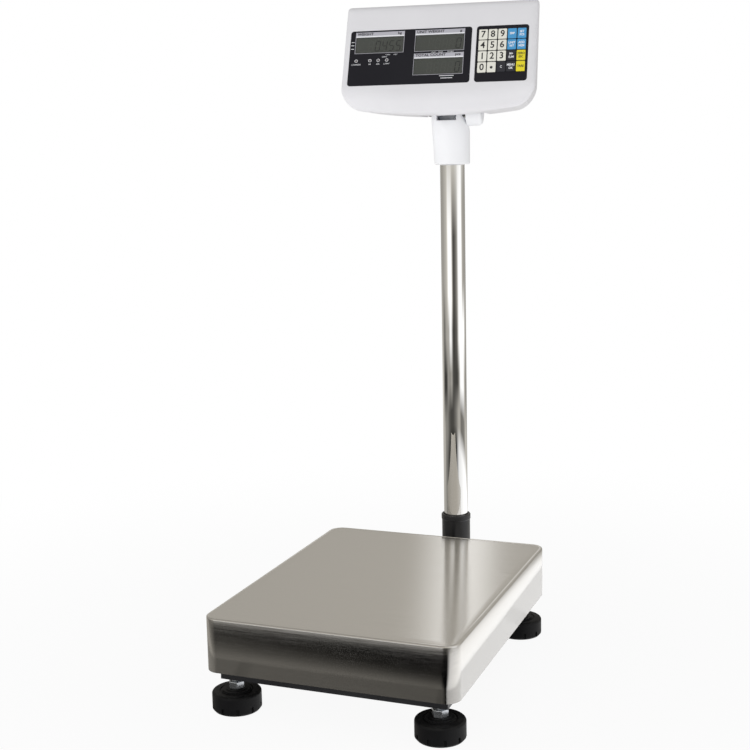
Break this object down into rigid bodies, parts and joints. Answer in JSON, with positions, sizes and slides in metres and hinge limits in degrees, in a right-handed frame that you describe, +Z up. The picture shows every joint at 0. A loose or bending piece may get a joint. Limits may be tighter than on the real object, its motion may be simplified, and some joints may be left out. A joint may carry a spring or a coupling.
{
  "type": "bench scale",
  "caption": "Bench weighing scale: stainless platter on a black frame with levelling feet, and a chrome column carrying a tilting indicator with displays and a keypad.",
  "frame": {"origin": "on the bench, under the middle of the box round the whole scale", "axes": "+Z up, +Y from the front of the platter to the column at the rear, +X to the right seen from the front"},
  "size_m": [0.352, 0.5826, 0.9525],
  "materials": {
    "stainless_sheet": "fine brushed grain from side to side",
    "black_frame_paint": "satin black powder coat",
    "cell_aluminium": "milled, satin",
    "spacer_steel": "dull steel",
    "zinc_steel": "bright zinc plate",
    "black_rubber": "matt moulded rubber",
    "black_plastic": "satin black plastic",
    "level_fluid": "clear lid with yellow-green fluid",
    "column_chrome": "polished chrome tube",
    "cable_sheath": "grey PVC sheath",
    "white_housing": "fine textured off-white ABS",
    "overlay_film": "near-black polycarbonate film, slight sheen",
    "window_film": "clear hard-coated film",
    "display_glass": "grey-green liquid crystal glass",
    "light_lens": "unlit clear-grey lens",
    "circuit_board": "green solder mask",
    "battery_case": "dark battery case",
    "key_ivory": "ivory print under matt film",
    "key_blue": "blue print under matt film",
    "key_black": "black print under matt film",
    "key_yellow": "yellow print under matt film"
  },
  "bodies": {
    "base": {"base_frame": "black_frame_paint", "load_cell": "cell_aluminium", "cell_spacers": "spacer_steel", "frame_bolts": "zinc_steel", "load_spider": "black_frame_paint", "platter_buffers": "black_rubber", "level_cup": "black_plastic", "level_vial": "level_fluid", "column_bracket": "black_frame_paint", "column_socket": "black_plastic", "column": "column_chrome", "cell_cable": "cable_sheath"},
    "platter": {"platter": "stainless_sheet"},
    "foot_fl": {"foot_pad_fl": "black_rubber", "foot_stud_fl": "zinc_steel"},
    "foot_fr": {"foot_pad_fr": "black_rubber", "foot_stud_fr": "zinc_steel"},
    "foot_rl": {"foot_pad_rl": "black_rubber", "foot_stud_rl": "zinc_steel"},
    "foot_rr": {"foot_pad_rr": "black_rubber", "foot_stud_rr": "zinc_steel"},
    "sleeve": {"head_sleeve": "white_housing"},
    "lock_screw": {"sleeve_lock_screw": "black_plastic"},
    "head": {"tilt_bracket": "zinc_steel", "tilt_bolt": "zinc_steel", "tilt_washer": "zinc_steel", "front_housing": "white_housing", "rear_housing": "white_housing", "housing_screws": "zinc_steel", "main_overlay": "overlay_film", "display_windows": "window_film", "display_modules": "display_glass", "status_lights": "light_lens", "keypad_overlay": "overlay_film", "keypad_board": "circuit_board", "main_board": "circuit_board", "battery": "battery_case"},
    "clamp_knob": {"tilt_knob": "white_housing"},
    "door": {"battery_door": "white_housing"},
    "switch_rocker": {"power_switch": "black_plastic"},
    "key_7": {"key_7": "key_ivory"},
    "key_8": {"key_8": "key_ivory"},
    "key_9": {"key_9": "key_ivory"},
    "key_blue_1": {"key_blue_1": "key_blue"},
    "key_blue_2": {"key_blue_2": "key_blue"},
    "key_4": {"key_4": "key_ivory"},
    "key_5": {"key_5": "key_ivory"},
    "key_6": {"key_6": "key_ivory"},
    "key_blue_3": {"key_blue_3": "key_blue"},
    "key_blue_4": {"key_blue_4": "key_blue"},
    "key_1": {"key_1": "key_ivory"},
    "key_2": {"key_2": "key_ivory"},
    "key_3": {"key_3": "key_ivory"},
    "key_black_1": {"key_black_1": "key_black"},
    "key_yellow_1": {"key_yellow_1": "key_yellow"},
    "key_0": {"key_0": "key_ivory"},
    "key_point": {"key_point": "key_ivory"},
    "key_black_2": {"key_black_2": "key_black"},
    "key_black_3": {"key_black_3": "key_black"},
    "key_yellow_2": {"key_yellow_2": "key_yellow"}
  },
  "joints": [
    {"name": "platter_lift", "type": "slide", "parent": "base", "child": "platter", "axis": [0, 0, 1], "range_m": [0, 0.06]},
    {"name": "head_swivel", "type": "hinge", "parent": "base", "child": "sleeve", "pos_m": [0.012, 0.224, 0.74], "axis": [0, 0, 1], "range_deg": [-170, 170]},
    {"name": "head_tilt", "type": "hinge", "parent": "sleeve", "child": "head", "pos_m": [0.012, 0.224, 0.791], "axis": [0.9888, 0.1495, 0], "range_deg": [-20, 15]},
    {"name": "battery_door_hinge", "type": "hinge", "parent": "head", "child": "door", "pos_m": [-0.09171, 0.2544, 0.81712], "axis": [-0.9888, -0.1495, 0], "range_deg": [0, 100]},
    {"name": "tilt_knob_turn", "type": "hinge", "parent": "head", "child": "clamp_knob", "pos_m": [0.04759, 0.22938, 0.791], "axis": [0.9888, 0.1495, 0], "range_deg": [0, 270]},
    {"name": "lock_screw_turn", "type": "hinge", "parent": "sleeve", "child": "lock_screw", "pos_m": [0.00602, 0.26355, 0.737], "axis": [-0.1495, 0.9888, 0], "range_deg": [0, 270]},
    {"name": "power_switch_rock", "type": "hinge", "parent": "head", "child": "switch_rocker", "pos_m": [0.09308, 0.27636, 0.84969], "axis": [-0.9888, -0.1495, 0], "range_deg": [0, 16]},
    {"name": "foot_fl_height", "type": "slide", "parent": "base", "child": "foot_fl", "axis": [0, 0, 1], "range_m": [-0.01, 0.004]},
    {"name": "foot_fr_height", "type": "slide", "parent": "base", "child": "foot_fr", "axis": [0, 0, 1], "range_m": [-0.01, 0.004]},
    {"name": "foot_rl_height", "type": "slide", "parent": "base", "child": "foot_rl", "axis": [0, 0, 1], "range_m": [-0.01, 0.004]},
    {"name": "foot_rr_height", "type": "slide", "parent": "base", "child": "foot_rr", "axis": [0, 0, 1], "range_m": [-0.01, 0.004]},
    {"name": "key_7_press", "type": "slide", "parent": "head", "child": "key_7", "axis": [-0.1355, 0.8961, -0.4226], "range_m": [0, 0.0005], "stiffness_N_per_m": 4000},
    {"name": "key_8_press", "type": "slide", "parent": "head", "child": "key_8", "axis": [-0.1355, 0.8961, -0.4226], "range_m": [0, 0.0005], "stiffness_N_per_m": 4000},
    {"name": "key_9_press", "type": "slide", "parent": "head", "child": "key_9", "axis": [-0.1355, 0.8961, -0.4226], "range_m": [0, 0.0005], "stiffness_N_per_m": 4000},
    {"name": "key_blue_1_press", "type": "slide", "parent": "head", "child": "key_blue_1", "axis": [-0.1355, 0.8961, -0.4226], "range_m": [0, 0.0005], "stiffness_N_per_m": 4000},
    {"name": "key_blue_2_press", "type": "slide", "parent": "head", "child": "key_blue_2", "axis": [-0.1355, 0.8961, -0.4226], "range_m": [0, 0.0005], "stiffness_N_per_m": 4000},
    {"name": "key_4_press", "type": "slide", "parent": "head", "child": "key_4", "axis": [-0.1355, 0.8961, -0.4226], "range_m": [0, 0.0005], "stiffness_N_per_m": 4000},
    {"name": "key_5_press", "type": "slide", "parent": "head", "child": "key_5", "axis": [-0.1355, 0.8961, -0.4226], "range_m": [0, 0.0005], "stiffness_N_per_m": 4000},
    {"name": "key_6_press", "type": "slide", "parent": "head", "child": "key_6", "axis": [-0.1355, 0.8961, -0.4226], "range_m": [0, 0.0005], "stiffness_N_per_m": 4000},
    {"name": "key_blue_3_press", "type": "slide", "parent": "head", "child": "key_blue_3", "axis": [-0.1355, 0.8961, -0.4226], "range_m": [0, 0.0005], "stiffness_N_per_m": 4000},
    {"name": "key_blue_4_press", "type": "slide", "parent": "head", "child": "key_blue_4", "axis": [-0.1355, 0.8961, -0.4226], "range_m": [0, 0.0005], "stiffness_N_per_m": 4000},
    {"name": "key_1_press", "type": "slide", "parent": "head", "child": "key_1", "axis": [-0.1355, 0.8961, -0.4226], "range_m": [0, 0.0005], "stiffness_N_per_m": 4000},
    {"name": "key_2_press", "type": "slide", "parent": "head", "child": "key_2", "axis": [-0.1355, 0.8961, -0.4226], "range_m": [0, 0.0005], "stiffness_N_per_m": 4000},
    {"name": "key_3_press", "type": "slide", "parent": "head", "child": "key_3", "axis": [-0.1355, 0.8961, -0.4226], "range_m": [0, 0.0005], "stiffness_N_per_m": 4000},
    {"name": "key_black_1_press", "type": "slide", "parent": "head", "child": "key_black_1", "axis": [-0.1355, 0.8961, -0.4226], "range_m": [0, 0.0005], "stiffness_N_per_m": 4000},
    {"name": "key_yellow_1_press", "type": "slide", "parent": "head", "child": "key_yellow_1", "axis": [-0.1355, 0.8961, -0.4226], "range_m": [0, 0.0005], "stiffness_N_per_m": 4000},
    {"name": "key_0_press", "type": "slide", "parent": "head", "child": "key_0", "axis": [-0.1355, 0.8961, -0.4226], "range_m": [0, 0.0005], "stiffness_N_per_m": 4000},
    {"name": "key_point_press", "type": "slide", "parent": "head", "child": "key_point", "axis": [-0.1355, 0.8961, -0.4226], "range_m": [0, 0.0005], "stiffness_N_per_m": 4000},
    {"name": "key_black_2_press", "type": "slide", "parent": "head", "child": "key_black_2", "axis": [-0.1355, 0.8961, -0.4226], "range_m": [0, 0.0005], "stiffness_N_per_m": 4000},
    {"name": "key_black_3_press", "type": "slide", "parent": "head", "child": "key_black_3", "axis": [-0.1355, 0.8961, -0.4226], "range_m": [0, 0.0005], "stiffness_N_per_m": 4000},
    {"name": "key_yellow_2_press", "type": "slide", "parent": "head", "child": "key_yellow_2", "axis": [-0.1355, 0.8961, -0.4226], "range_m": [0, 0.0005], "stiffness_N_per_m": 4000}
  ]
}
